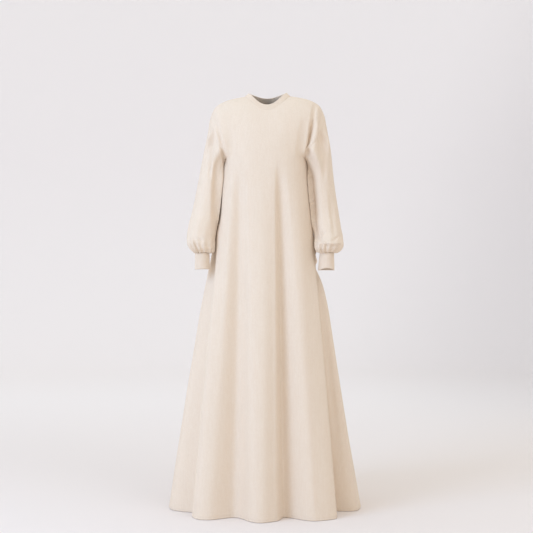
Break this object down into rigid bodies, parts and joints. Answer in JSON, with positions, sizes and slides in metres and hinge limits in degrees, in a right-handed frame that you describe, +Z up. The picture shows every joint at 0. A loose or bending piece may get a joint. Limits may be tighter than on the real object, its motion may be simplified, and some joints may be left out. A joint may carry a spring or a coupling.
{
  "type": "sweater abaya",
  "caption": "Long A-line knit abaya in its worn form: dropped shoulders, full sleeves gathered into rib cuffs, and a skirt that falls in soft deep folds.",
  "frame": {"origin": "midway between the two points where the shoulder seams meet the neckline, where the wearer's shoulders carry the garment", "axes": "+Z up, +X towards the wearer's left, the front of the garment faces -Y"},
  "size_m": [0.6596, 0.5443, 1.4284],
  "materials": {
    "knit": "soft, slightly brushed fine knit",
    "rib": "fine rib knit, doubled"
  },
  "bodies": {
    "root": {"front": "knit", "back": "knit", "sleeve_right": "knit", "sleeve_left": "knit", "cuff_right": "rib", "cuff_left": "rib", "neckband": "rib"}
  },
  "joints": []
}
